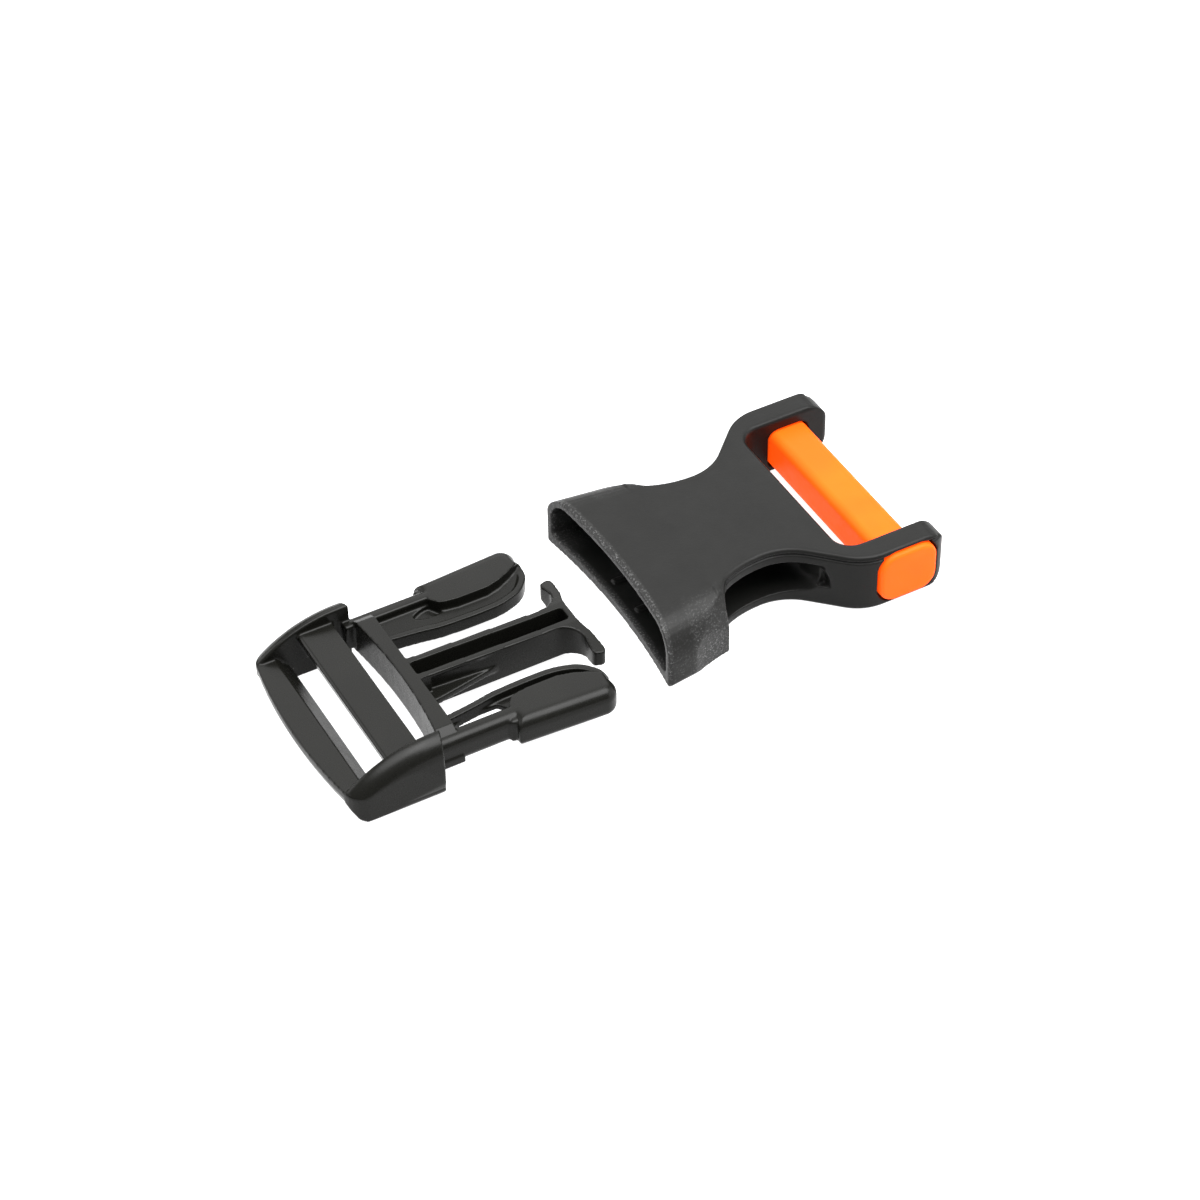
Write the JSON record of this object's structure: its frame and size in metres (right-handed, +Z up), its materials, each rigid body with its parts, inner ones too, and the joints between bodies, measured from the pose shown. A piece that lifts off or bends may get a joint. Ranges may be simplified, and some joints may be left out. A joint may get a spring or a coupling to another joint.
{
  "type": "side release buckle",
  "caption": "Side-release buckle for flat webbing, shown open: a hollow socket with a slide-in strap bar, and a ladder-frame plug with a T tongue and springy latch arms.",
  "frame": {"origin": "bottom centre of the box round both halves as they lie apart, on the surface they lie on", "axes": "+X along the buckle from the plug's ladder frame to the socket's ears, +Y across it away from the strap bar's head, +Z up"},
  "size_m": [0.0894, 0.0366, 0.0092],
  "materials": {
    "socket_shell": "fine spark-eroded grain, moulded acetal",
    "plug_frame": "satin, moulded acetal",
    "latch_arm": "satin, moulded acetal",
    "strap_bar": "satin orange, moulded acetal"
  },
  "bodies": {
    "socket": {"socket": "socket_shell"},
    "strap_bar": {"strap_bar": "strap_bar"},
    "plug": {"plug": "plug_frame"},
    "latch_arm_left": {"latch_arm_left": "latch_arm"},
    "latch_arm_right": {"latch_arm_right": "latch_arm"}
  },
  "joints": [
    {"name": "plug_slide", "type": "slide", "parent": "socket", "child": "plug", "axis": [1, 0, 0], "range_m": [-0.02, 0.007]},
    {"name": "latch_arm_left_squeeze", "type": "hinge", "parent": "plug", "child": "latch_arm_left", "pos_m": [-0.02705, 0.00595, 0.0045], "axis": [0, 0, 1], "range_deg": [-6, 0], "stiffness_Nm_per_rad": 1},
    {"name": "latch_arm_right_squeeze", "type": "hinge", "parent": "plug", "child": "latch_arm_right", "pos_m": [-0.02705, -0.01045, 0.0045], "axis": [0, 0, 1], "range_deg": [0, 6], "stiffness_Nm_per_rad": 1},
    {"name": "strap_bar_slide", "type": "slide", "parent": "socket", "child": "strap_bar", "axis": [0, -1, 0], "range_m": [0, 0.034]}
  ]
}
